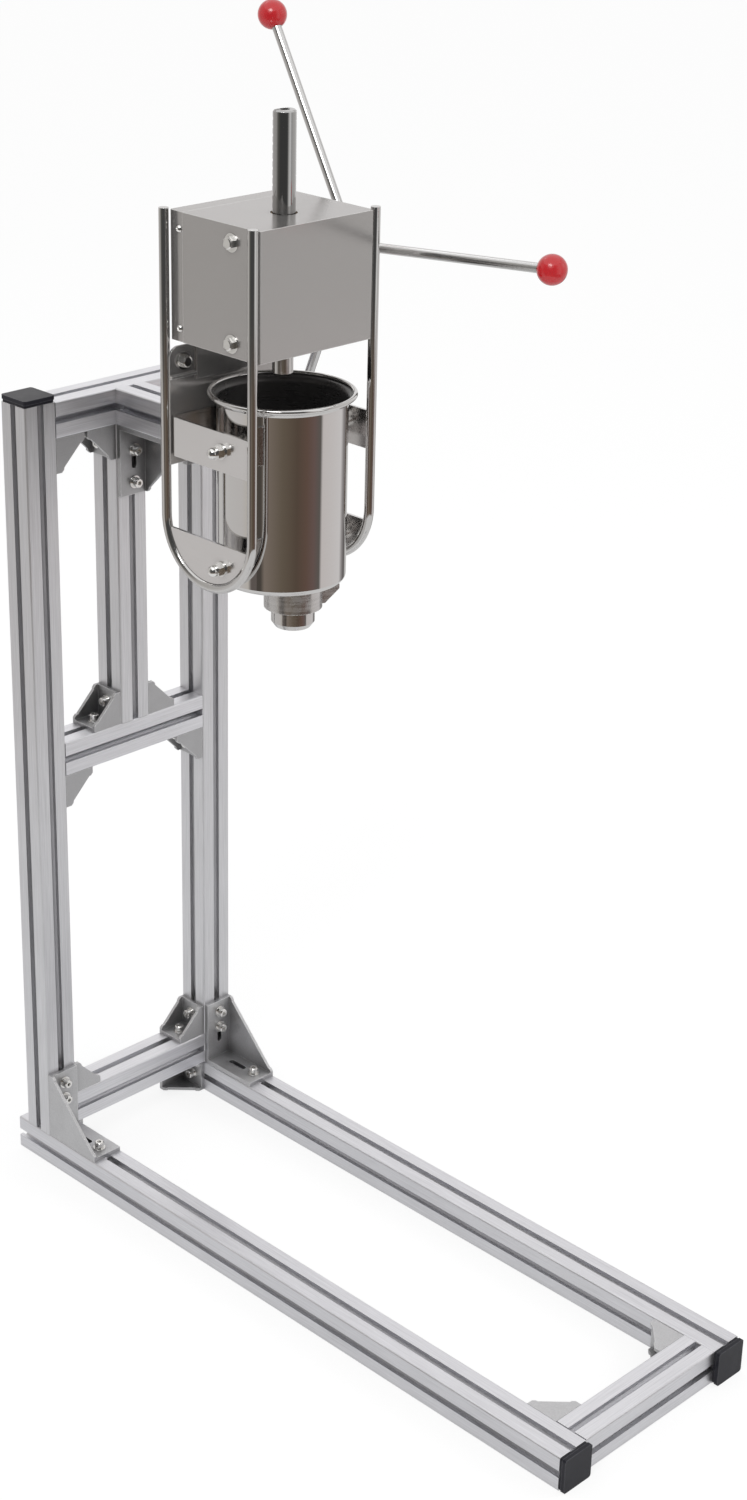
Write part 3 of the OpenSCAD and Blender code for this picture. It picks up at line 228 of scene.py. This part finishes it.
def tone_group():
    """A base colour that drifts with a grain, brightens at edges with wear and a painted highlight, and
    darkens in crevices with painted shade.
    """
    group, given, result = new_group(
        "tone",
        [("Colour", "Color", (0.5, 0.5, 0.5, 1)), ("Edge Colour", "Color", (0.8, 0.8, 0.8, 1)),
         ("Mask", "Float", 0.0), ("Shade", "Float", 0.0), ("Grain", "Float", 0.5), ("Drift", "Float", 0.1)],
        [("Colour", "Color")],
    )
    centred = math_node(group, "SUBTRACT", given["Grain"], 0.5)
    level = math_node(group, "ADD", math_node(group, "MULTIPLY", centred, given["Drift"]), 1.0)
    drifted = new_node(
        group, "ShaderNodeVectorMath", {0: given["Colour"], "Scale": level}, operation="SCALE",
    )
    mixed = new_node(
        group, "ShaderNodeMix",
        {"Factor": given["Mask"], "A": drifted.outputs[0], "B": given["Edge Colour"]},
        data_type="RGBA",
    )
    lit = math_node(group, "SUBTRACT", 1.0, given["Shade"])
    shaded = new_node(
        group, "ShaderNodeVectorMath", {0: mixed.outputs["Result"], "Scale": lit}, operation="SCALE",
    )
    group.links.new(shaded.outputs[0], result["Colour"])
    return group


def build_groups():
    makers = [grain_group, mottle_group, edge_wear_and_highlight_group, relief_group, corner_painted_shade_group, tone_group]
    return {group.name: group for group in (maker() for maker in makers)}


GROUPS = build_groups()


def use_group(tree, name, inputs):
    node = tree.nodes.new("ShaderNodeGroup")
    node.node_tree = GROUPS[name]
    for key, value in inputs.items():
        if isinstance(value, bpy.types.NodeSocket):
            tree.links.new(value, node.inputs[key])
        else:
            node.inputs[key].default_value = value
    return node.outputs


def new_material(name):
    material = bpy.data.materials.new(name)
    material.use_nodes = True
    tree = material.node_tree
    shader = tree.nodes["Principled BSDF"]
    return material, tree, shader


# Finishes of the object: colour, metal share, gloss range, grain, edge wear with painted highlight, and
# painted shade in crevices
def make_finish(
    name, colour, edge_colour, metallic, gloss, stretch, scale, depth,
    edge=0.0004, wear_and_highlight=1.0, drift=0.12, detail=3.0, blotch=14.0, painted_shade_depth=0.35, reach=0.006,
    coat=0.0, coat_gloss=0.1, specular=0.5,
):
    material, tree, shader = new_material(name)
    grain = use_group(tree, "grain", {"Stretch": stretch, "Scale": scale, "Detail": detail})["Height"]
    # edge mask: real wear and painted highlight, mixing the brighter edge colour in at the edges
    mask = use_group(tree, "edge_wear_and_highlight", {"Radius": 2 * edge, "Strength": wear_and_highlight})["Mask"]
    # painted shade: the corner mask darkens the base colour in corners and recesses
    shade = use_group(tree, "corner_painted_shade", {"Reach": reach, "Strength": painted_shade_depth})["Shade"]
    tone = use_group(
        tree, "tone",
        {"Colour": (*colour, 1), "Edge Colour": (*edge_colour, 1), "Mask": mask, "Shade": shade,
         "Grain": grain, "Drift": drift},
    )["Colour"]
    blotches = use_group(tree, "mottle", {"Scale": blotch, "Low": gloss[0], "High": gloss[1]})["Value"]
    centred = math_node(tree, "SUBTRACT", grain, 0.5)
    spread = math_node(tree, "MULTIPLY", centred, GRAIN_TO_GLOSS * gloss[1])
    roughness = math_node(tree, "ADD", blotches, spread, True)
    normal = use_group(tree, "relief", {"Height": grain, "Depth": depth, "Edge": edge})["Normal"]
    tree.links.new(tone, shader.inputs["Base Color"])
    tree.links.new(roughness, shader.inputs["Roughness"])
    tree.links.new(normal, shader.inputs["Normal"])
    shader.inputs["Metallic"].default_value = metallic
    shader.inputs["Coat Weight"].default_value = coat
    shader.inputs["Coat Roughness"].default_value = coat_gloss
    shader.inputs["Specular IOR Level"].default_value = specular
    return material


ALONG = {"x": (0.02, 1, 1), "y": (1, 0.02, 1), "z": (1, 1, 0.02)}
# One anodised finish in three tones by the profile's direction: painted light and shade, the upright posts
# darker and the cross rails lighter
ANODISED_PAINTED_LIGHT_AND_SHADE = {"x": (0.83, 0.83, 0.86), "y": (0.8, 0.8, 0.83), "z": (0.76, 0.76, 0.78)}
# One die-cast finish in two tones: the upper brackets darker as painted shade, the lower ones lighter as
# painted light
DIE_CAST_PAINTED_LIGHT_AND_SHADE = {"upper": (0.52, 0.52, 0.53), "lower": (0.63, 0.63, 0.64)}
RINGED = (0.04, 0.04, 1)
EVEN = (1, 1, 1)


def make_finishes():
    finishes = {}
    for axis, stretch in ALONG.items():
        finishes["anodised_" + axis] = make_finish(
            "anodised_" + axis, ANODISED_PAINTED_LIGHT_AND_SHADE[axis], (0.86, 0.86, 0.87), 1.0, (0.34, 0.46),
            stretch, 800.0, 0.00002, edge=0.0002, wear_and_highlight=0.8, drift=0.5, blotch=9.0, painted_shade_depth=0.3, reach=0.006,
        )
    for place, shade in DIE_CAST_PAINTED_LIGHT_AND_SHADE.items():
        finishes["die_cast_" + place] = make_finish(
            "die_cast_" + place, shade, (0.85, 0.85, 0.86), 1.0, (0.36, 0.52),
            EVEN, 600.0, 0.00008, edge=0.0007, wear_and_highlight=2.2, drift=0.4, blotch=40.0, painted_shade_depth=0.7, reach=0.016,
        )
    finishes["bright_fastener"] = make_finish(
        "bright_fastener", (0.9, 0.89, 0.87), (0.97, 0.97, 0.96), 1.0, (0.08, 0.16),
        EVEN, 1500.0, 0.00001, edge=0.0003, wear_and_highlight=0.8, drift=0.15, blotch=120.0, painted_shade_depth=0.3, reach=0.003,
    )
    finishes["brushed_sheet"] = make_finish(
        "brushed_sheet", (0.46, 0.445, 0.436), (0.88, 0.87, 0.86), 0.82, (0.15, 0.24),
        RINGED, 1400.0, 0.00001, edge=0.0007, wear_and_highlight=1.5, drift=0.12, blotch=7.0, painted_shade_depth=0.3, reach=0.01,
    )
    finishes["bright_sheet"] = make_finish(
        "bright_sheet", (0.78, 0.765, 0.76), (0.92, 0.92, 0.91), 1.0, (0.15, 0.22),
        RINGED, 900.0, 0.000001, edge=0.0005, wear_and_highlight=1.0, drift=0.1, blotch=9.0, painted_shade_depth=0.3, reach=0.008,
    )
    finishes["polished_barrel"] = make_finish(
        "polished_barrel", (0.72, 0.71, 0.7), (0.92, 0.92, 0.92), 1.0, (0.012, 0.03),
        RINGED, 900.0, 0.0000005, edge=0.0004, wear_and_highlight=0.4, drift=0.04, blotch=8.0, painted_shade_depth=0.3,
    )
    # dark inside of the pot, the same steel as outside: painted shade
    finishes["barrel_inside_painted_shade"] = make_finish(
        "barrel_inside_painted_shade", (0.1, 0.096, 0.095), (0.3, 0.3, 0.3), 0.7, (0.22, 0.34),
        RINGED, 300.0, 0.000001, edge=0.0003, wear_and_highlight=0.2, drift=0.12, blotch=16.0, painted_shade_depth=0.1, reach=0.02,
    )
    finishes["polished_bar"] = make_finish(
        "polished_bar", (0.68, 0.67, 0.66), (0.9, 0.9, 0.89), 1.0, (0.07, 0.13),
        ALONG["z"], 900.0, 0.0000015, edge=0.0005, wear_and_highlight=0.5, drift=0.1, blotch=16.0, painted_shade_depth=0.45,
    )
    finishes["rod_steel"] = make_finish(
        "rod_steel", (0.5, 0.495, 0.49), (0.85, 0.85, 0.84), 1.0, (0.05, 0.1),
        RINGED, 900.0, 0.000001, edge=0.0004, wear_and_highlight=0.8, drift=0.1, blotch=20.0, painted_shade_depth=0.3,
    )
    finishes["turned_steel"] = make_finish(
        "turned_steel", (0.7, 0.69, 0.68), (0.92, 0.92, 0.91), 1.0, (0.05, 0.11),
        RINGED, 900.0, 0.0000015, edge=0.0004, wear_and_highlight=0.8, drift=0.1, blotch=20.0, painted_shade_depth=0.3,
    )
    finishes["lever_steel"] = make_finish(
        "lever_steel", (0.66, 0.655, 0.65), (0.88, 0.88, 0.87), 1.0, (0.14, 0.22),
        EVEN, 900.0, 0.000002, edge=0.0004, wear_and_highlight=0.8, drift=0.15, blotch=20.0, painted_shade_depth=0.3,
    )
    finishes["worn_steel"] = make_finish(
        "worn_steel", (0.64, 0.63, 0.62), (0.95, 0.95, 0.94), 1.0, (0.16, 0.34),
        RINGED, 420.0, 0.00003, edge=0.0006, wear_and_highlight=2.4, drift=0.6, blotch=70.0, painted_shade_depth=0.5, reach=0.006,
    )
    finishes["gear_steel"] = make_finish(
        "gear_steel", (0.36, 0.35, 0.34), (0.6, 0.6, 0.6), 1.0, (0.25, 0.45),
        EVEN, 900.0, 0.00002, wear_and_highlight=1.0, drift=0.35, blotch=60.0, painted_shade_depth=0.8,
    )
    finishes["bronze"] = make_finish(
        "bronze", (0.55, 0.38, 0.2), (0.75, 0.58, 0.34), 1.0, (0.25, 0.4),
        RINGED, 1200.0, 0.00001, wear_and_highlight=0.8, drift=0.2, blotch=50.0, painted_shade_depth=0.6,
    )
    finishes["black_plastic"] = make_finish(
        "black_plastic", (0.01, 0.01, 0.015), (0.09, 0.09, 0.1), 0.0, (0.3, 0.42),
        EVEN, 1800.0, 0.00006, edge=0.0006, wear_and_highlight=0.7, drift=0.3, blotch=30.0, painted_shade_depth=0.3, specular=0.27,
    )
    finishes["silicone"] = make_finish(
        "silicone", (0.72, 0.71, 0.67), (0.8, 0.8, 0.78), 0.0, (0.4, 0.55),
        EVEN, 900.0, 0.00003, wear_and_highlight=0.3, drift=0.08, blotch=40.0,
    )
    finishes["red_plastic"] = make_finish(
        "red_plastic", (0.41, 0.008, 0.013), (0.6, 0.05, 0.05), 0.0, (0.2, 0.3),
        EVEN, 260.0, 0.00004, edge=0.0005, wear_and_highlight=0.5, drift=0.12, blotch=60.0, coat=0.6, coat_gloss=0.06,
    )
    return finishes


FINISHES = make_finishes()

NODE_FINISH = {
    "anodised_x": ["front_cross_rail", "bottom_cross_rail", "middle_cross_rail", "top_cross_rail"],
    "anodised_y": ["base_rail_left", "base_rail_right", "arm_rail"],
    "anodised_z": ["post_left", "post_right", "centre_post"],
    "black_plastic": ["rail_end_caps", "post_caps"],
    # upper brackets and bearing plates take the darker tone, painted shade
    "die_cast_upper": [
        "upper_corner_brackets", "head_corner_brackets", "arm_bracket",
        "bearing_plate_left", "bearing_plate_right",
    ],
    "die_cast_lower": ["lower_corner_brackets", "base_brackets"],
    "bright_fastener": [
        "frame_screws", "frame_washers", "slot_nuts", "head_nuts", "cover_screws", "hex_bolts",
        "barrel_studs", "stud_washers", "domed_nuts", "hub_screw", "pinion_pin",
    ],
    "brushed_sheet": ["gear_housing", "rear_cover", "neck_bracket", "back_plate"],
    "bright_sheet": ["upper_band", "lower_plate_left", "lower_plate_right"],
    "polished_bar": ["bar_frame_left", "bar_frame_right"],
    "polished_barrel": ["barrel"],
    "turned_steel": [
        "plunger_spigot", "handle_hub", "pinion_shaft", "outlet_spout", "nozzle_cup", "plunger",
    ],
    "rod_steel": ["rack_rod"],
    "lever_steel": ["lever_rod_1", "lever_rod_2", "lever_rod_3"],
    "worn_steel": ["nozzle_ring"],
    "gear_steel": ["pinion_gear", "shaft_collar"],
    "bronze": ["shaft_bushes", "guide_bushes"],
    "silicone": ["nozzle_gasket", "plunger_seal"],
    "red_plastic": ["ball_knob_1", "ball_knob_2", "ball_knob_3"],
}


def dress(obj, finish):
    materials = obj.data.materials
    if not materials:
        materials.append(FINISHES[finish])
    for slot in range(len(materials)):
        materials[slot] = FINISHES[finish]


def dress_nodes():
    for finish, names in NODE_FINISH.items():
        for name in names:
            dress(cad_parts[name], finish)


# Barrel: a pot of spun sheet with a rounded heel, a small flare and a rolled rim
BARREL_WALL = 0.066
BARREL_SHEET = 0.0015
BARREL_FLOOR = 0.002
BARREL_HEEL = 0.006
BARREL_BEAD = 0.0025
BARREL_FLARE = 0.0055
OUTLET_AHEAD = 0.018
OUTLET_RADIUS = 0.02
BARREL_STEPS = 160
HEEL_STEPS = 10
FLARE_STEPS = 14
BEAD_STEPS = 22
LIP_STEPS = 4

# Angles where the barrel's curves meet, in degrees
FLARE_TOP = 96
INNER_FLARE_TOP = 108
BEAD_FOOT = -88
LIP_FOOT = 212


def arc(radius, level, wide, tall, start, end, steps):
    """Points (radius, level) of an elliptical arc about a centre, from one angle to another in degrees."""
    points = []
    for step in range(steps + 1):
        turn = math.radians(start + (end - start) * step / steps)
        points.append((radius + wide * math.cos(turn), level + tall * math.sin(turn)))
    return points


def barrel_outline(rim, height):
    """Outside points from the heel up over the rim, and inside points from the rim down to the floor."""
    bead = rim - BARREL_BEAD
    bead_level = height - BARREL_BEAD
    flare_level = bead_level - BARREL_BEAD - BARREL_FLARE
    flare = bead - BARREL_WALL
    bore = BARREL_WALL - BARREL_SHEET
    heel = BARREL_HEEL
    inner_heel = heel - BARREL_SHEET
    outside = arc(BARREL_WALL - heel, heel, heel, heel, -90, 0, HEEL_STEPS)
    outside += arc(bead, flare_level, flare, BARREL_FLARE, 180, FLARE_TOP, FLARE_STEPS)
    outside += arc(bead, bead_level, BARREL_BEAD, BARREL_BEAD, BEAD_FOOT, 180, BEAD_STEPS)
    inside = arc(bead, bead_level, BARREL_BEAD, BARREL_BEAD, 180, LIP_FOOT, LIP_STEPS)
    inside += arc(
        bead, flare_level, flare + BARREL_SHEET, BARREL_FLARE + BARREL_SHEET,
        INNER_FLARE_TOP, 180, FLARE_STEPS,
    )
    inside += arc(
        bore - inner_heel, BARREL_FLOOR + inner_heel, inner_heel, inner_heel, 0, -90, HEEL_STEPS,
    )
    return outside, inside


def ring_of_points(bm, centre, radius, level, steps):
    turns = [2 * math.pi * step / steps for step in range(steps)]
    return [
        bm.verts.new((centre.x + radius * math.cos(turn), centre.y + radius * math.sin(turn), level))
        for turn in turns
    ]


def join_rings(bm, first, second, slot):
    for step in range(len(first)):
        after = (step + 1) % len(first)
        face = bm.faces.new((first[step], first[after], second[after], second[step]))
        face.material_index = slot


def make_barrel():
    low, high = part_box("barrel")
    axis = Vector(((low[0] + high[0]) / 2, (low[1] + high[1]) / 2, 0))
    outlet = axis - Vector((0, OUTLET_AHEAD, 0))
    outside, inside = barrel_outline((high[0] - low[0]) / 2, high[2] - low[2])
    bm = bmesh.new()
    rings = [(ring_of_points(bm, outlet, OUTLET_RADIUS, low[2], BARREL_STEPS), 0)]
    for radius, level in outside:
        rings.append((ring_of_points(bm, axis, radius, low[2] + level, BARREL_STEPS), 0))
    # inside rings take slot 1, the dark inside finish: painted shade in the pot
    for radius, level in inside[1:]:
        rings.append((ring_of_points(bm, axis, radius, low[2] + level, BARREL_STEPS), 1))
    rings.append((ring_of_points(bm, outlet, OUTLET_RADIUS, low[2] + BARREL_FLOOR, BARREL_STEPS), 1))
    for (first, slot), (second, next_slot) in zip(rings, rings[1:] + rings[:1]):
        join_rings(bm, first, second, next_slot)
    bmesh.ops.recalc_face_normals(bm, faces=bm.faces)
    barrel = mesh_object("barrel_shell", bm)
    barrel.data.materials.append(FINISHES["polished_barrel"])
    barrel.data.materials.append(FINISHES["barrel_inside_painted_shade"])
    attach(barrel, "stand")
    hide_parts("barrel")


# Studio

def place_camera():
    a, e, roll = CAMERA_AZIMUTH, CAMERA_ELEVATION, CAMERA_ROLL
    back = Vector((math.sin(a) * math.cos(e), -math.cos(a) * math.cos(e), math.sin(e)))
    right = Vector((math.cos(a), math.sin(a), 0))
    up = back.cross(right)
    rolled_right = math.cos(roll) * right + math.sin(roll) * up
    rolled_up = math.cos(roll) * up - math.sin(roll) * right
    data = bpy.data.cameras.new("camera")
    data.lens = CAMERA_LENS_MM
    data.sensor_width = SENSOR_MM
    data.clip_end = 200
    camera = link(bpy.data.objects.new("camera", data))
    turned = Matrix((rolled_right, rolled_up, back)).transposed()
    camera.matrix_world = Matrix.Translation(CAMERA_PLACE) @ turned.to_4x4()
    bpy.context.scene.camera = camera


def seen_directly(tree):
    """1 where a ray comes from the camera, a mirror or glass, and 0 where it lights a matt face."""
    path = new_node(tree, "ShaderNodeLightPath").outputs
    direct = math_node(tree, "MAXIMUM", path["Is Camera Ray"], path["Is Glossy Ray"])
    return math_node(tree, "MAXIMUM", direct, path["Is Transmission Ray"])


def light_world(ambient):
    world = bpy.data.worlds.new("studio")
    bpy.context.scene.world = world
    world.use_nodes = True
    tree = world.node_tree
    tree.nodes.clear()
    direct = seen_directly(tree)
    strength = new_node(
        tree, "ShaderNodeMapRange", {"Value": direct, "To Min": ambient, "To Max": 1.0},
    ).outputs["Result"]
    background = new_node(tree, "ShaderNodeBackground", {"Color": (1, 1, 1, 1), "Strength": strength})
    output = new_node(tree, "ShaderNodeOutputWorld")
    tree.links.new(background.outputs[0], output.inputs["Surface"])


def lay_floor():
    bm = bmesh.new()
    bmesh.ops.create_grid(bm, x_segments=1, y_segments=1, size=FLOOR_SIDE / 2)
    floor = mesh_object("studio_floor", bm, smooth=False)
    floor.location = (STUDIO_CENTRE.x, STUDIO_CENTRE.y, -FLOOR_DROP)
    material = bpy.data.materials.new("pale_floor")
    material.use_nodes = True
    tree = material.node_tree
    tree.nodes.clear()
    paper = new_node(tree, "ShaderNodeBsdfDiffuse", {"Color": (FLOOR_TONE, FLOOR_TONE, FLOOR_TONE, 1)})
    mirrored = new_node(tree, "ShaderNodeLightPath").outputs["Is Glossy Ray"]
    strength = new_node(
        tree, "ShaderNodeMapRange", {"Value": mirrored, "To Min": 1.0, "To Max": FLOOR_IN_METAL},
    ).outputs["Result"]
    glow = new_node(tree, "ShaderNodeEmission", {"Color": (1, 1, 1, 1), "Strength": strength})
    share = math_node(tree, "MULTIPLY", seen_directly(tree), FLOOR_GLOW_SHARE)
    mixed = new_node(tree, "ShaderNodeMixShader", {0: share, 1: paper.outputs[0], 2: glow.outputs[0]})
    output = new_node(tree, "ShaderNodeOutputMaterial")
    tree.links.new(mixed.outputs[0], output.inputs["Surface"])
    floor.data.materials.append(material)


# Walls of the studio as polished metal sees them: degrees to the right of the camera, and tone
CAMERA_REACH = CAMERA_PLACE - STUDIO_CENTRE
CAMERA_SIDE = math.degrees(math.atan2(CAMERA_REACH.y, CAMERA_REACH.x))
WALL_TONES = {
    "low": [
        (-165, (0.6, 0.59, 0.58)), (-122, (0.62, 0.61, 0.6)), (-75, (0.6, 0.58, 0.57)),
        (-62, (0.58, 0.55, 0.51)), (-56, (0.14, 0.12, 0.11)), (-38, (0.08, 0.07, 0.06)),
        (-31, (0.23, 0.19, 0.16)), (0, (0.15, 0.12, 0.09)), (27, (0.11, 0.08, 0.06)),
        (45, (0.14, 0.09, 0.07)), (60, (0.16, 0.11, 0.1)), (73, (0.13, 0.12, 0.11)),
        (78, (0.66, 0.62, 0.61)), (128, (0.71, 0.69, 0.69)), (137, (0.34, 0.32, 0.32)),
        (150, (0.1, 0.09, 0.09)), (160, (0.6, 0.59, 0.58)),
    ],
    "high": [
        (-176, (0.85, 0.84, 0.84)), (-150, (0.8, 0.79, 0.78)), (-125, (0.56, 0.54, 0.53)),
        (-85, (0.49, 0.48, 0.46)), (-74, (0.26, 0.25, 0.24)), (-58, (0.1, 0.1, 0.09)),
        (24, (0.07, 0.07, 0.07)), (34, (0.12, 0.12, 0.12)), (44, (0.6, 0.59, 0.58)),
        (62, (0.92, 0.92, 0.92)), (74, (0.45, 0.45, 0.45)), (88, (0.57, 0.56, 0.55)),
        (120, (0.64, 0.63, 0.62)), (155, (0.85, 0.84, 0.84)),
    ],
}


def tones_around(tree, turn, tones):
    """Colour that changes around the studio, with one stop for each tone."""
    ramp = new_node(tree, "ShaderNodeValToRGB", {"Fac": turn})
    stops = ramp.color_ramp.elements
    ordered = sorted((((angle + CAMERA_SIDE + 180) % 360) / 360, tone) for angle, tone in tones)
    while len(stops) < len(ordered):
        stops.new(0.5)
    for stop, (place_share, tone) in zip(stops, ordered):
        stop.position = place_share
        stop.color = (*tone, 1)
    return ramp.outputs["Color"]


def wall_material():
    """Glow of the studio's wall, which blends from its low tones to its high ones."""
    material = bpy.data.materials.new("studio_wall")
    material.use_nodes = True
    tree = material.node_tree
    tree.nodes.clear()
    place = new_node(tree, "ShaderNodeTexCoord").outputs["Object"]
    turn = new_node(tree, "ShaderNodeTexGradient", {"Vector": place}, gradient_type="RADIAL").outputs["Fac"]
    level = new_node(tree, "ShaderNodeSeparateXYZ", {0: place}).outputs["Z"]
    rise = new_node(
        tree, "ShaderNodeMapRange",
        {"Value": level, "From Min": RING_BLEND[0], "From Max": RING_BLEND[1]},
    ).outputs["Result"]
    low, high = (tones_around(tree, turn, WALL_TONES[part]) for part in ("low", "high"))
    tone = new_node(
        tree, "ShaderNodeMix", {"Factor": rise, "A": low, "B": high}, data_type="RGBA",
    ).outputs["Result"]
    glow = new_node(tree, "ShaderNodeEmission", {"Color": tone, "Strength": 1.0})
    output = new_node(tree, "ShaderNodeOutputMaterial")
    tree.links.new(glow.outputs[0], output.inputs["Surface"])
    return material


def ring_the_studio():
    bm = bmesh.new()
    middle = Vector((0, 0))
    foot, top = (ring_of_points(bm, middle, RING_RADIUS, level, RING_STEPS) for level in RING_LEVELS)
    join_rings(bm, foot, top, 0)
    ring = mesh_object("studio_wall", bm)
    ring.location = STUDIO_CENTRE
    ring.visible_camera = False
    ring.visible_diffuse = False
    ring.visible_shadow = False
    ring.visible_transmission = False
    ring.data.materials.append(wall_material())


def soft_lamp(name, place, size, power):
    data = bpy.data.lights.new(name, "AREA")
    data.shape = "DISK"
    data.size = size
    data.energy = power
    lamp = link(bpy.data.objects.new(name, data))
    lamp.location = place
    lamp.rotation_euler = (STUDIO_MIDDLE - Vector(place)).to_track_quat("-Z", "Y").to_euler()


def light_studio():
    light_world(AMBIENT_LIGHT)
    for name, (place, size, power) in LAMPS.items():
        soft_lamp(name, place, size, power)


bpy.context.scene.view_settings.view_transform = "Standard"
place_camera()
light_studio()
lay_floor()
ring_the_studio()
dress_nodes()
make_barrel()
